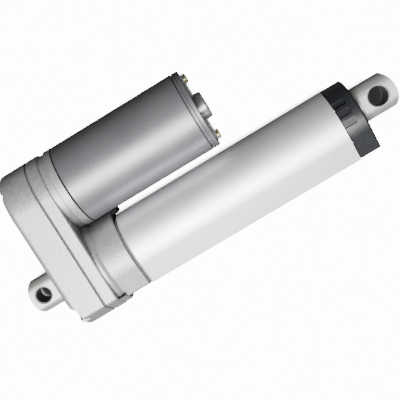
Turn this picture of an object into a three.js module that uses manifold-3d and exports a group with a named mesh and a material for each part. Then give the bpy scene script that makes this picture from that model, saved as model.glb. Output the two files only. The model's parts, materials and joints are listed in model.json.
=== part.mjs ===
// Electric linear actuator: a small DC motor beside the push tube, joined by an offset spur gearbox.
// Millimetres. Origin at the centre of the rear pin hole, +X along the push rod toward its tip,
// +Y from the rod axis toward the motor axis, +Z along the pin holes.
import * as THREE from 'three';
import { mergeVertices } from 'three/addons/utils/BufferGeometryUtils.js';
import Module from 'manifold-3d';

const wasm = await Module();
wasm.setup();

// ---------------------------------------------------------------- driving dimensions
const HOLE_TO_HOLE = 155;
const STROKE = 50;
const REAR_HOLE_R = 3.2;
const FRONT_HOLE_R = 4.0;
const EYE_END_ARC = 11.5;

const MODULE = 0.8;
const T_PINION = 10;
const T_BIG = 28;
const T_SMALL = 12;
const T_SCREW = 30;
const MOTOR_Y = (MODULE * (T_PINION + T_BIG + T_SMALL + T_SCREW)) / 2;
const IDLER_Y = (MODULE * (T_SMALL + T_SCREW)) / 2;

const BOX_X0 = 8.8;
const BOX_PART = 22.0;
const BOX_X1 = 27.5;
const BOX_HALF = 17.25;
const FOOT_X1 = 30.6;
const BOX_BOTTOM = -20.0;
const BOX_KNEE = -14.9;
const BOX_FOOT_HALF = 4.7;
const BOX_WALL = 2.2;
const REAR_WALL = 2.5;
const FRONT_WALL = 2.2;
const SPLIT = 0.35;

const CAN_R = 17.0;
const CAN_WALL = 1.3;
const CAN_X0 = 33.9;
const CAN_X1 = 89.6;
const SEAT_X1 = 33.5;
const BOLT_OFF = 12.7;

const TUBE_R = 15.3;
const TUBE_CY = -2.8;
const TUBE_BOTTOM = -17.4;
const TUBE_FLAT_HALF = 10.6;
const TUBE_X0 = 41.4;
const TUBE_X1 = 136.7;
const TUBE_CHAMFER = 0.9;
const COLLAR_X1 = 40.6;
const COLLAR_RISE = 2.3;
const COLLAR_COVE = 1.7;
const BORE_R = 10.2;
const CHANNEL_HALF = 6.2;
const CHANNEL_Y = -15.8;
const CAP_X0 = 137.0;
const CAP_X1 = 145.8;
const CAP_RAISE = 0.4;
const CAP_SCREWS = [[4.4, 10.9], [4.4, -10.9], [-9.6, 11.0], [-9.6, -11.0]];
const CASE_SCREWS = [[-13.2, 11.4], [-13.2, -11.4], [41.2, 11.0], [41.2, -11.0]];

const ROD_R = 7.5;
const ROD_BORE = 5.3;
const ROD_X0 = 50.3;
const ROD_X1 = 141.7;
const FRONT_FLAT = 6.6;
const REAR_R = 7.2;
const REAR_FLAT = 5.65;
const NUT_X0 = 46;
const NUT_X1 = 58;
const NUT_R = 9.8;
const LUG_X0 = 50;
const LUG_X1 = 54;

const SCREW_LEAD = 4;
const SCREW_R = 4.0;
const SCREW_ROOT = 3.2;
const THREAD_X0 = 37.5;
const THREAD_X1 = 129;
const SCREW_GEAR_X = [14.2, 18.4];
const BIG_GEAR_X = [19.6, 23.4];

// ---------------------------------------------------------------- finishes
const FINISH = {
  casting: { color: 0xc9cacb, roughness: 0.55, metalness: 0.35 },
  tube: { color: 0xd4d6d8, roughness: 0.38, metalness: 0.55 },
  can: { color: 0xa9a9ad, roughness: 0.42, metalness: 0.6 },
  steel: { color: 0xb4b5b3, roughness: 0.3, metalness: 0.9 },
  rod: { color: 0xbfc2bb, roughness: 0.34, metalness: 0.85 },
  zinc: { color: 0xb7a66a, roughness: 0.38, metalness: 0.8 },
  black_plastic: { color: 0x1d1f21, roughness: 0.25, metalness: 0.0 },
  rubber: { color: 0x161716, roughness: 0.8, metalness: 0.0 },
  gasket: { color: 0x6f6d68, roughness: 0.8, metalness: 0.0 },
  gear_plastic: { color: 0xe6e0cf, roughness: 0.5, metalness: 0.0 },
  brass: { color: 0xb08d3f, roughness: 0.35, metalness: 0.9 },
  copper: { color: 0xa85a2c, roughness: 0.4, metalness: 0.9 },
  magnet: { color: 0x3b3b3d, roughness: 0.7, metalness: 0.2 },
  carbon: { color: 0x242424, roughness: 0.8, metalness: 0.1 },
  board: { color: 0x2c5a38, roughness: 0.6, metalness: 0.0 },
  bronze: { color: 0x9a7440, roughness: 0.45, metalness: 0.8 },
};

// ---------------------------------------------------------------- solid helpers
function solid(geometry) {
  const g = geometry.clone();
  g.deleteAttribute('normal');
  g.deleteAttribute('uv');
  const m = mergeVertices(g, 1e-4);
  const index = Uint32Array.from(m.index.array);
  const pos = m.attributes.position.array;
  let vol = 0;
  for (let i = 0; i < index.length; i += 3) {
    const a = new THREE.Vector3().fromArray(pos, index[i] * 3);
    const b = new THREE.Vector3().fromArray(pos, index[i + 1] * 3);
    const c = new THREE.Vector3().fromArray(pos, index[i + 2] * 3);
    vol += a.dot(b.cross(c));
  }
  if (vol < 0) {
    for (let i = 0; i < index.length; i += 3) {
      const keep = index[i];
      index[i] = index[i + 1];
      index[i + 1] = keep;
    }
  }
  return new wasm.Manifold(
    new wasm.Mesh({ numProp: 3, vertProperties: Float32Array.from(pos), triVerts: index }));
}

function toGeometry(man) {
  const mesh = man.getMesh();
  const g = new THREE.BufferGeometry();
  g.setAttribute('position', new THREE.BufferAttribute(Float32Array.from(mesh.vertProperties), 3));
  g.setIndex(new THREE.BufferAttribute(Uint32Array.from(mesh.triVerts), 1));
  g.computeVertexNormals();
  return g;
}

// outline points are [y, z]; the solid runs along X
function prismX(points, x0, x1, holes = [], bevel = 0) {
  const shape = new THREE.Shape(points.map((p) => new THREE.Vector2(p[0], p[1])));
  for (const h of holes) {
    shape.holes.push(new THREE.Path(h.map((p) => new THREE.Vector2(p[0], p[1]))));
  }
  const g = new THREE.ExtrudeGeometry(shape, {
    depth: x1 - x0 - 2 * bevel,
    steps: 1,
    bevelEnabled: bevel > 0,
    bevelThickness: bevel,
    bevelSize: bevel,
    bevelOffset: -bevel,
    bevelSegments: 2,
  });
  g.applyMatrix4(new THREE.Matrix4().makeBasis(
    new THREE.Vector3(0, 1, 0), new THREE.Vector3(0, 0, 1), new THREE.Vector3(1, 0, 0)));
  g.translate(x0 + bevel, 0, 0);
  return solid(g);
}

// outline points are [x, y]; the solid runs along Z
function prismZ(points, z0, z1) {
  const shape = new THREE.Shape(points.map((p) => new THREE.Vector2(p[0], p[1])));
  const g = new THREE.ExtrudeGeometry(shape, { depth: z1 - z0, steps: 1, bevelEnabled: false });
  g.translate(0, 0, z0);
  return solid(g);
}

function box(x0, x1, y0, y1, z0, z1) {
  const g = new THREE.BoxGeometry(x1 - x0, y1 - y0, z1 - z0);
  g.translate((x0 + x1) / 2, (y0 + y1) / 2, (z0 + z1) / 2);
  return solid(g);
}

function cylX(r, x0, x1, y = 0, z = 0, seg = 32) {
  const g = new THREE.CylinderGeometry(r, r, x1 - x0, seg);
  g.rotateZ(-Math.PI / 2);
  g.translate((x0 + x1) / 2, y, z);
  return solid(g);
}

function cylZ(r, z0, z1, x = 0, y = 0, seg = 32) {
  const g = new THREE.CylinderGeometry(r, r, z1 - z0, seg);
  g.rotateX(Math.PI / 2);
  g.translate(x, y, (z0 + z1) / 2);
  return solid(g);
}

// profile points are [x, radius], closed on itself or ending on the axis
function turned(profile, y = 0, z = 0, seg = 32) {
  const g = new THREE.LatheGeometry(profile.map((p) => new THREE.Vector2(p[1], p[0])), seg);
  g.applyMatrix4(new THREE.Matrix4().makeBasis(
    new THREE.Vector3(0, 0, 1), new THREE.Vector3(1, 0, 0), new THREE.Vector3(0, 1, 0)));
  g.translate(0, y, z);
  return solid(g);
}

function ring(rOut, rIn, x0, x1, y = 0, z = 0, seg = 32) {
  return turned([[x0, rIn], [x0, rOut], [x1, rOut], [x1, rIn], [x0, rIn]], y, z, seg);
}

// sections is a list of [x, points]; all sections have the same number of points
function loftX(sections) {
  const n = sections[0][1].length;
  const pos = [];
  for (const [x, pts] of sections) {
    for (const p of pts) pos.push(x, p[0], p[1]);
  }
  const idx = [];
  for (let s = 0; s + 1 < sections.length; s += 1) {
    for (let i = 0; i < n; i += 1) {
      const a = s * n + i;
      const b = s * n + ((i + 1) % n);
      idx.push(a, b, b + n, a, b + n, a + n);
    }
  }
  const flat = sections[0][1].map((p) => new THREE.Vector2(p[0], p[1]));
  const last = (sections.length - 1) * n;
  for (const [a, b, c] of THREE.ShapeUtils.triangulateShape(flat, [])) {
    idx.push(a, c, b);
    idx.push(last + a, last + b, last + c);
  }
  const g = new THREE.BufferGeometry();
  g.setAttribute('position', new THREE.BufferAttribute(Float32Array.from(pos), 3));
  g.setIndex(idx);
  return solid(g);
}

function unite(list) {
  return list.reduce((a, b) => a.add(b));
}

// ---------------------------------------------------------------- outlines
function boxOutline(inset, arcSteps = 18) {
  const half = BOX_HALF - inset;
  const low = BOX_BOTTOM + inset;
  const foot = BOX_FOOT_HALF - inset * 0.2;
  const knee = BOX_KNEE + inset * 0.674;
  const pts = [[low, -foot], [low, foot], [knee, half]];
  for (let i = 0; i <= arcSteps; i += 1) {
    const a = Math.PI / 2 - (Math.PI * i) / arcSteps;
    pts.push([MOTOR_Y + half * Math.cos(a), half * Math.sin(a)]);
  }
  pts.push([knee, -half]);
  return pts.reverse();
}

function tubeOutline(grow = 0, arcSteps = 24) {
  const r = TUBE_R + grow;
  const low = TUBE_BOTTOM - grow;
  const flat = TUBE_FLAT_HALF + grow * 0.6;
  const dy = TUBE_CY - low;
  const reach = Math.hypot(dy, flat);
  const start = Math.atan2(flat, dy) + Math.acos(r / reach);
  const pts = [[low, -flat], [low, flat]];
  for (let i = 0; i <= arcSteps; i += 1) {
    const a = start + ((2 * Math.PI - 2 * start) * i) / arcSteps;
    pts.push([TUBE_CY - r * Math.cos(a), r * Math.sin(a)]);
  }
  return pts.reverse();
}

// the collar follows the tube, drawn up at its crown to meet the motor seat
function collarOutline(grow) {
  return tubeOutline(grow).map(([y, z]) => {
    const t = Math.max((y - TUBE_CY) / (TUBE_R + grow), 0);
    return [y + COLLAR_RISE * t ** 6, z];
  });
}

function hexOutline(y, z, acrossFlats) {
  const r = acrossFlats / Math.sqrt(3);
  return Array.from({ length: 6 }, (_, i) => {
    const a = (Math.PI / 3) * i;
    return [y + r * Math.cos(a), z + r * Math.sin(a)];
  });
}

// involute spur gear outline; the first tooth is centred on angle `phase` measured from +Y toward +Z
function gearOutline(teeth, y, phase) {
  const pitch = (MODULE * teeth) / 2;
  const base = pitch * Math.cos(Math.PI / 9);
  const outer = pitch + MODULE * 0.92;
  const root = pitch - MODULE * 1.3;
  const slack = 0.14 / pitch;
  const inv = (r) => {
    const t = Math.sqrt(Math.max((r / base) ** 2 - 1, 0));
    return t - Math.atan(t);
  };
  const half = Math.PI / (2 * teeth) - slack / 2 + inv(pitch);
  const radii = [pitch, outer];
  const pts = [];
  for (let k = 0; k < teeth; k += 1) {
    const mid = phase + (2 * Math.PI * k) / teeth;
    const left = [[root, half]].concat(radii.map((r) => [r, half - inv(r)]));
    for (const [r, a] of left) pts.push([y + r * Math.cos(mid - a), r * Math.sin(mid - a)]);
    for (const [r, a] of left.reverse()) pts.push([y + r * Math.cos(mid + a), r * Math.sin(mid + a)]);
  }
  return pts;
}

// ---------------------------------------------------------------- assembly
const actuator = new THREE.Group();
actuator.name = 'linear_actuator';
const frameGroup = new THREE.Group();
const rodGroup = new THREE.Group();
const screwGroup = new THREE.Group();
const idlerGroup = new THREE.Group();
const rotorGroup = new THREE.Group();
const plungerGroup = new THREE.Group();
actuator.add(frameGroup, rodGroup, screwGroup, idlerGroup, rotorGroup, plungerGroup);

function place(group, name, man, finish) {
  const mesh = new THREE.Mesh(toGeometry(man), new THREE.MeshStandardMaterial(FINISH[finish]));
  mesh.material.name = finish;
  mesh.name = name;
  group.add(mesh);
}

// ---------------------------------------------------------------- gearbox castings
function rearHousing() {
  let body = prismX(boxOutline(0), BOX_X0, BOX_X1 + 4, [], 2.4);
  body = body.intersect(box(0, BOX_PART - SPLIT, -60, 80, -40, 40));
  body = body.subtract(prismX(boxOutline(BOX_WALL), BOX_X0 + REAR_WALL, BOX_PART + 1));
  const shell = prismX(boxOutline(0.9), BOX_X0 + 1.2, BOX_PART - SPLIT);
  for (const [y, z] of CASE_SCREWS) {
    body = body.add(cylX(3.0, BOX_X0 + 1.2, BOX_PART - SPLIT, y, z, 18).intersect(shell));
  }
  for (const z of [-17, 12]) {
    body = body.add(box(BOX_X0 + 1.2, 13.6, -18, -8.5, z, z + 5).intersect(shell));
  }
  body = body.add(ring(11.0, 9.4, BOX_X0 + 2, 13.2, 0, 0, 36));
  body = body.add(cylX(3.6, BOX_X0 + 2, 13.4, IDLER_Y, 0, 20));
  body = body.add(cylX(4.2, BOX_X0 + 2, 15.6, MOTOR_Y, 0, 20));
  body = body.subtract(cylX(2.3, 12.4, 16, MOTOR_Y, 0, 20));
  body = body.subtract(cylX(1.7, 10.4, 14, IDLER_Y, 0, 20));
  body = body.subtract(cylX(REAR_R + 0.25, 5, 12, 0, 0, 40));
  for (const [y, z] of CASE_SCREWS) {
    body = body.subtract(cylX(1.45, 5, 24, y, z, 14));
    body = body.subtract(cylX(2.7, 5, 12.6, y, z, 18));
  }
  // the lower rear corners slope forward, with one shallow step
  const notch = [[4, -5], [8.8, -5], [9.4, -9], [11.2, -9.9], [12.0, -15.4], [13.4, -16.4], [13.7, -26], [4, -26]];
  body = body.subtract(prismZ(notch, 12.6, 30));
  body = body.subtract(prismZ(notch, -30, -12.6));
  // cable mouth in the rear face beside the motor axis
  body = body.subtract(cylX(3.1, 5, 12, 33.5, -9.5, 20));
  return body;
}

function frontHousing() {
  let body = prismX(boxOutline(0), BOX_PART + SPLIT, BOX_X1);
  // cove between the case front and the tube collar
  const sections = [[BOX_X1 - 0.5, collarOutline(COLLAR_COVE)]];
  for (let i = 0; i <= 4; i += 1) {
    const a = (Math.PI / 2) * (i / 4);
    sections.push([BOX_X1 + COLLAR_COVE * 1.5 * Math.sin(a), collarOutline(COLLAR_COVE * (1 - Math.sin(a)))]);
  }
  sections.push([COLLAR_X1, collarOutline(0)]);
  const envelope = prismX(boxOutline(0), BOX_X1 - 1, COLLAR_X1 + 1);
  body = body.add(loftX(sections).intersect(envelope));
  // foot that runs forward under the collar
  body = body.add(prismX(boxOutline(0.3), BOX_X1 - 1, FOOT_X1, [], 0.5).intersect(box(20, 40, -30, -15.6, -30, 30)));
  // seat ring for the motor
  body = body.add(turned([[BOX_X1 - 0.5, 0], [BOX_X1 - 0.5, 16.5], [30.3, 16.5], [30.3, 17.1], [SEAT_X1, 17.1],
    [SEAT_X1, 0]], MOTOR_Y, 0, 40));
  // saddle between the collar and the motor can
  body = body.add(box(BOX_X1, COLLAR_X1, 8, 17, -5.0, -0.6));
  body = body.subtract(cylX(CAN_R + 0.35, SEAT_X1, 60, MOTOR_Y, 0, 64));
  // inside
  body = body.subtract(prismX(boxOutline(BOX_WALL), BOX_PART - 1, BOX_X1 - FRONT_WALL));
  body = body.subtract(cylX(15.4, 29.4, 34, MOTOR_Y, 0, 30));
  for (const s of [1, -1]) {
    const boss = cylX(2.7, 29.0, 34.0, MOTOR_Y + s * BOLT_OFF, 0, 18);
    body = body.add(boss);
  }
  const shell = prismX(boxOutline(0.9), BOX_PART + SPLIT, BOX_X1 - 0.3);
  for (const [y, z] of CASE_SCREWS) {
    body = body.add(cylX(3.0, BOX_PART + SPLIT, BOX_X1 - 0.6, y, z, 18).intersect(shell));
  }
  body = body.add(cylX(3.6, 24.2, BOX_X1 - 0.6, IDLER_Y, 0, 20));
  for (const [y, z] of CASE_SCREWS) {
    body = body.subtract(cylX(1.25, BOX_PART - 1, 26.4, y, z, 14));
  }
  body = body.subtract(cylX(1.7, 23, 26.4, IDLER_Y, 0, 20));
  for (const s of [1, -1]) {
    body = body.subtract(cylX(1.5, 27.6, 36, MOTOR_Y + s * BOLT_OFF, 0, 14));
  }
  body = body.subtract(cylX(6.0, 20, 32, MOTOR_Y, 0, 24));
  body = body.subtract(cylX(7.9, 20, 30, 0, 0, 32));
  body = body.subtract(cylX(9.7, 28.2, 36.9, 0, 0, 36));
  body = body.subtract(cylX(8.6, 33, COLLAR_X1 + 1, 0, 0, 32));
  body = body.subtract(box(36.9, COLLAR_X1 + 1, CHANNEL_Y, -6, -CHANNEL_HALF, CHANNEL_HALF));
  body = body.subtract(cylX(BORE_R, 36.9, COLLAR_X1 + 1, 0, 0, 36));
  return body;
}

function caseGasket() {
  let body = prismX(boxOutline(0.35), BOX_PART - 0.15, BOX_PART + 0.15, [boxOutline(2.7).reverse()]);
  const shell = prismX(boxOutline(0.35), BOX_PART - 0.15, BOX_PART + 0.15);
  for (const [y, z] of CASE_SCREWS) {
    body = body.add(cylX(3.0, BOX_PART - 0.15, BOX_PART + 0.15, y, z, 18).intersect(shell));
  }
  for (const [y, z] of CASE_SCREWS) {
    body = body.subtract(cylX(1.3, BOX_PART - 1, BOX_PART + 1, y, z, 14));
  }
  return body;
}

place(frameGroup, 'rear_housing', rearHousing(), 'casting');
place(frameGroup, 'front_housing', frontHousing(), 'casting');
place(frameGroup, 'case_gasket', caseGasket(), 'gasket');

CASE_SCREWS.forEach(([y, z], i) => {
  const screw = turned([[10.2, 0], [10.2, 1.9], [10.6, 2.3], [12.3, 2.3], [12.3, 1.1], [25.9, 1.1], [25.9, 0]],
    y, z, 14).subtract(prismX(hexOutline(y, z, 1.9), 10, 11.3));
  place(frameGroup, `case_screw_${i + 1}`, screw, 'steel');
});

// ---------------------------------------------------------------- rear eye
function eyeEnd(hole, farEnd, toward) {
  // plan outline that rounds the free end of an eye
  const centre = farEnd - toward * EYE_END_ARC;
  const pts = [];
  for (let i = 0; i <= 12; i += 1) {
    const a = -0.85 + (1.7 * i) / 12;
    pts.push([centre + toward * EYE_END_ARC * Math.cos(a), EYE_END_ARC * Math.sin(a)]);
  }
  const back = hole - toward * 40;
  pts.push([back, pts[pts.length - 1][1]], [back, pts[0][1]]);
  return pts;
}

function rearEye() {
  let body = turned([[-7, 0], [-7, REAR_R], [11.5, REAR_R], [11.5, 9.1], [12.9, 9.1], [12.9, 0]], 0, 0, 40);
  body = body.intersect(prismZ(eyeEnd(0, -5.7, -1), -20, 20));
  for (const s of [1, -1]) {
    body = body.subtract(box(-12, 8.2, -20, 20, s > 0 ? REAR_FLAT : -20, s > 0 ? 20 : -REAR_FLAT));
  }
  body = body.subtract(cylZ(REAR_HOLE_R, -20, 20, 0, 0, 32));
  body = body.subtract(cylX(3.25, 9.0, 14, 0, 0, 24));
  return body;
}
place(frameGroup, 'rear_clevis', rearEye(), 'rod');

// ---------------------------------------------------------------- outer tube, cap, guide
function tubeBody() {
  let body = loftX([[TUBE_X0, tubeOutline(-TUBE_CHAMFER)], [TUBE_X0 + TUBE_CHAMFER, tubeOutline(0)],
    [TUBE_X1, tubeOutline(0)]]);
  body = body.subtract(cylX(BORE_R, TUBE_X0 - 1, TUBE_X1 + 1, 0, 0, 36));
  body = body.subtract(box(TUBE_X0 - 1, TUBE_X1 + 1, CHANNEL_Y, -6, -CHANNEL_HALF, CHANNEL_HALF));
  for (const [y, z] of CAP_SCREWS) body = body.subtract(cylX(1.3, 120, TUBE_X1 + 1, y, z, 12));
  return body;
}

function tubeGasket() {
  const x0 = COLLAR_X1 + 0.2;
  const x1 = TUBE_X0 - 0.2;
  let body = prismX(tubeOutline(-0.55), x0, x1);
  body = body.add(box(x0, x1, 8, 14.75, -3, 3));
  body = body.subtract(cylX(BORE_R + 0.2, x0 - 1, x1 + 1, 0, 0, 36));
  body = body.subtract(box(x0 - 1, x1 + 1, CHANNEL_Y - 0.2, -6, -CHANNEL_HALF - 0.2, CHANNEL_HALF + 0.2));
  // lug that fills the gap between the tube and the motor
  return body.add(box(x0, 43.4, 12.75, 14.75, -3, 3));
}

function frontCap() {
  let body = prismX(tubeOutline(0), CAP_X0, CAP_X1, [], 0.45)
    .intersect(box(CAP_X0 - 1, CAP_X1 + 1, TUBE_BOTTOM + CAP_RAISE, 40, -30, 30));
  body = body.add(cylX(BORE_R - 0.3, 134.0, CAP_X0 + 0.6, 0, 0, 36));
  // three pockets along X in the upper half of each long side
  for (const s of [1, -1]) {
    for (const deg of [35, 19, 3]) {
      const a = (deg * Math.PI) / 180;
      const g = new THREE.BoxGeometry(5.4, 2.9, 2.0);
      g.translate(CAP_X0 + 2.5, 0, TUBE_R + 0.1);
      g.rotateX(-a);
      if (s < 0) g.scale(1, 1, -1);
      g.translate(0, TUBE_CY, 0);
      body = body.subtract(solid(g));
    }
  }
  body = body.subtract(cylX(8.9, 132, 142.4, 0, 0, 36));
  body = body.subtract(cylX(ROD_R + 0.45, 140, 150, 0, 0, 36));
  body = body.subtract(cylX(9.1, 142.8, 150, 0, 0, 36));
  for (const [y, z] of CAP_SCREWS) {
    body = body.subtract(cylX(1.35, 130, 150, y, z, 12));
    body = body.subtract(cylX(2.1, 143.6, 150, y, z, 16));
  }
  return body;
}

place(frameGroup, 'outer_tube', tubeBody(), 'tube');
place(frameGroup, 'tube_gasket', tubeGasket(), 'rubber');
place(frameGroup, 'front_cap', frontCap(), 'black_plastic');
place(frameGroup, 'guide_bush', ring(8.7, ROD_R + 0.12, 134.3, 142.2, 0, 0, 32), 'bronze');
place(frameGroup, 'wiper_seal', turned([[143.0, 8.0], [143.0, 8.9], [145.4, 8.9], [145.6, 8.5], [145.6, 7.65],
  [144.8, 7.62], [144.2, 8.0], [143.0, 8.0]], 0, 0, 32), 'rubber');
CAP_SCREWS.forEach(([y, z], i) => {
  const screw = turned([[126, 0], [126, 1.1], [143.8, 1.1], [143.8, 1.85], [145.3, 1.85], [145.5, 1.6],
    [145.5, 0]], y, z, 12).subtract(prismX(hexOutline(y, z, 1.5), 144.6, 148));
  place(frameGroup, `cap_screw_${i + 1}`, screw, 'steel');
});

// ---------------------------------------------------------------- screw bearing, fixed half
place(frameGroup, 'bearing_outer_ring', ring(9.45, 7.2, 28.5, 33.3, 0, 0, 32), 'steel');
place(frameGroup, 'bearing_retainer', ring(9.4, 7.4, 33.6, 34.7, 0, 0, 32), 'steel');
place(frameGroup, 'idler_pin', cylX(1.5, 10.7, 26.1, IDLER_Y, 0, 18), 'steel');
place(frameGroup, 'cable_grommet', turned([[8.3, 0], [8.3, 2.6], [8.6, 2.9], [10.9, 2.9], [10.9, 0]],
  33.5, -9.5, 18), 'rubber');

// ---------------------------------------------------------------- motor, fixed half
place(frameGroup, 'motor_can', ring(CAN_R, CAN_R - CAN_WALL, CAN_X0, CAN_X1, MOTOR_Y, 0, 48), 'can');

function magnet(side) {
  const pts = [];
  const spread = (52 * Math.PI) / 180;
  for (let i = 0; i <= 10; i += 1) {
    const a = -spread + (2 * spread * i) / 10;
    pts.push([MOTOR_Y + 15.5 * Math.sin(a), side * 15.5 * Math.cos(a)]);
  }
  for (let i = 10; i >= 0; i -= 1) {
    const a = -spread + (2 * spread * i) / 10;
    pts.push([MOTOR_Y + 12.3 * Math.sin(a), side * 12.3 * Math.cos(a)]);
  }
  return prismX(side > 0 ? pts.reverse() : pts, 41, 74);
}
place(frameGroup, 'magnet_front', magnet(1), 'magnet');
place(frameGroup, 'magnet_back', magnet(-1), 'magnet');

function motorFrontPlate() {
  let body = turned([[28.2, 0], [28.2, 5.2], [34.3, 5.2], [34.3, 15.5], [36.3, 15.5], [36.3, 6.0], [38.5, 6.0],
    [38.5, 0]], MOTOR_Y, 0, 30);
  body = body.subtract(cylX(3.9, 34.5, 40, MOTOR_Y, 0, 24));
  body = body.subtract(cylX(2.5, 20, 40, MOTOR_Y, 0, 24));
  for (const s of [1, -1]) {
    body = body.subtract(cylX(1.6, 30, 40, MOTOR_Y + s * BOLT_OFF, 0, 14));
  }
  return body;
}

function motorEndCap() {
  let body = turned([[87.8, 0], [87.8, 15.4], [89.9, 15.4], [89.9, 16.95], [90.9, 16.95], [91.05, 16.75],
    [91.2, 16.95], [92.4, 16.95], [92.8, 16.5], [92.8, 15.2], [92.1, 14.9], [92.1, 5.8], [95.6, 5.7],
    [96.3, 4.9], [96.3, 0]], MOTOR_Y, 0, 40);
  // raised bar across the end face, under the bolt heads
  body = body.add(box(91.5, 93.4, MOTOR_Y - 20, MOTOR_Y + 20, -2.6, 2.6).intersect(cylX(14.8, 90, 95, MOTOR_Y, 0, 40)));
  body = body.subtract(cylX(4.0, 86, 91.8, MOTOR_Y, 0, 24));
  body = body.subtract(cylX(2.3, 86, 95.2, MOTOR_Y, 0, 24));
  for (const s of [1, -1]) {
    body = body.subtract(cylX(1.6, 80, 100, MOTOR_Y + s * BOLT_OFF, 0, 14));
  }
  return body;
}

place(frameGroup, 'motor_front_plate', motorFrontPlate(), 'steel');
place(frameGroup, 'motor_front_bush', ring(3.75, 2.15, 34.8, 38.4, MOTOR_Y, 0, 24), 'bronze');
place(frameGroup, 'motor_end_cap', motorEndCap(), 'steel');
place(frameGroup, 'motor_rear_bush', ring(3.85, 2.15, 87.6, 91.5, MOTOR_Y, 0, 24), 'bronze');
[1, -1].forEach((s, i) => {
  const y = MOTOR_Y + s * BOLT_OFF;
  const bolt = turned([[29.2, 0], [29.2, 1.3], [93.9, 1.3], [93.9, 2.1], [94.4, 2.1], [94.9, 1.6], [94.9, 0]], y, 0, 16)
    .subtract(box(94.4, 97, y - 3, y + 3, -0.3, 0.3));
  place(frameGroup, `through_bolt_${i + 1}`, bolt, 'zinc');
  place(frameGroup, `bolt_washer_${i + 1}`, ring(2.45, 1.5, 93.5, 93.8, y, 0, 20), 'zinc');
});

function brushCard() {
  let body = ring(15.3, 8.0, 84.4, 85.8, MOTOR_Y, 0, 36);
  for (const s of [1, -1]) {
    body = body.add(box(77.2, 85, MOTOR_Y - 2.6, MOTOR_Y + 2.6, s > 0 ? 8.6 : -13.4, s > 0 ? 13.4 : -8.6));
    body = body.subtract(box(77.9, 82.1, MOTOR_Y - 1.9, MOTOR_Y + 1.9, s > 0 ? 5 : -12.6, s > 0 ? 12.6 : -5));
    body = body.subtract(cylX(1.7, 80, 90, MOTOR_Y + s * BOLT_OFF, 0, 14));
  }
  return body;
}
place(frameGroup, 'brush_card', brushCard(), 'black_plastic');
[1, -1].forEach((s, i) => {
  const brush = box(78.1, 81.9, MOTOR_Y - 1.7, MOTOR_Y + 1.7, s > 0 ? 5.4 : -12.3, s > 0 ? 12.3 : -5.4)
    .subtract(cylX(5.3, 70, 90, MOTOR_Y, 0, 24));
  place(frameGroup, `brush_${i + 1}`, brush, 'carbon');
});

// ---------------------------------------------------------------- limit switches in the tube channel
place(frameGroup, 'switch_rail', box(41.5, 114, -15.5, -14.6, -5.6, 5.6), 'board');

function switchBody(x0, x1, open) {
  return box(x0, x1, -14.4, -10.9, -3.2, 3.2)
    .subtract(box(open > 0 ? x1 - 2.6 : x0 - 1, open > 0 ? x1 + 1 : x0 + 2.6, -13.4, -11.7, -0.95, 0.95));
}
place(frameGroup, 'limit_switch_rear', switchBody(42.0, 48.4, 1), 'black_plastic');
place(frameGroup, 'limit_switch_front', switchBody(105.6, 112.0, -1), 'black_plastic');
place(plungerGroup, 'plunger_rear', box(46.9, 49.6, -13.25, -11.85, -0.8, 0.8), 'gear_plastic');
place(plungerGroup, 'plunger_front', box(104.4, 107.1, -13.25, -11.85, -0.8, 0.8), 'gear_plastic');

// ---------------------------------------------------------------- push rod and nut
function rodTube() {
  let body = ring(ROD_R, ROD_BORE, ROD_X0, ROD_X1, 0, 0, 40);
  body = body.subtract(cylZ(1.6, -10, 10, 137.6, 0, 14));
  return body;
}

function driveNut() {
  let body = turned([[NUT_X0, 4.3], [NUT_X0, NUT_R - 0.5], [NUT_X0 + 0.5, NUT_R], [NUT_X1 - 0.5, NUT_R],
    [NUT_X1, NUT_R - 0.5], [NUT_X1, 7.7], [ROD_X0 - 0.2, 7.7], [ROD_X0 - 0.2, 4.3], [NUT_X0, 4.3]], 0, 0, 36);
  const lug = box(LUG_X0, LUG_X1, -13.9, -9.0, -5.9, 5.9);
  return body.add(lug.subtract(cylX(9.0, 40, 60, 0, 0, 36)));
}

function frontEye() {
  const tip = HOLE_TO_HOLE + 7.7;
  let body = turned([[134.2, 0], [134.2, 4.6], [134.7, 5.1], [142.0, 5.1], [142.0, ROD_R], [tip + 1, ROD_R],
    [tip + 1, 0]], 0, 0, 40);
  body = body.intersect(prismZ(eyeEnd(HOLE_TO_HOLE, tip, 1), -20, 20));
  for (const s of [1, -1]) {
    body = body.subtract(box(147.6, tip + 4, -20, 20, s > 0 ? FRONT_FLAT : -20, s > 0 ? 20 : -FRONT_FLAT));
  }
  body = body.subtract(cylZ(FRONT_HOLE_R, -20, 20, HOLE_TO_HOLE, 0, 36));
  body = body.subtract(cylZ(1.6, -10, 10, 137.6, 0, 14));
  return body;
}

place(rodGroup, 'push_rod', rodTube(), 'rod');
place(rodGroup, 'drive_nut', driveNut(), 'gear_plastic');
place(rodGroup, 'front_clevis', frontEye(), 'rod');
place(rodGroup, 'clevis_pin', cylZ(1.4, -7.2, 7.2, 137.6, 0, 14), 'steel');

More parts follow.
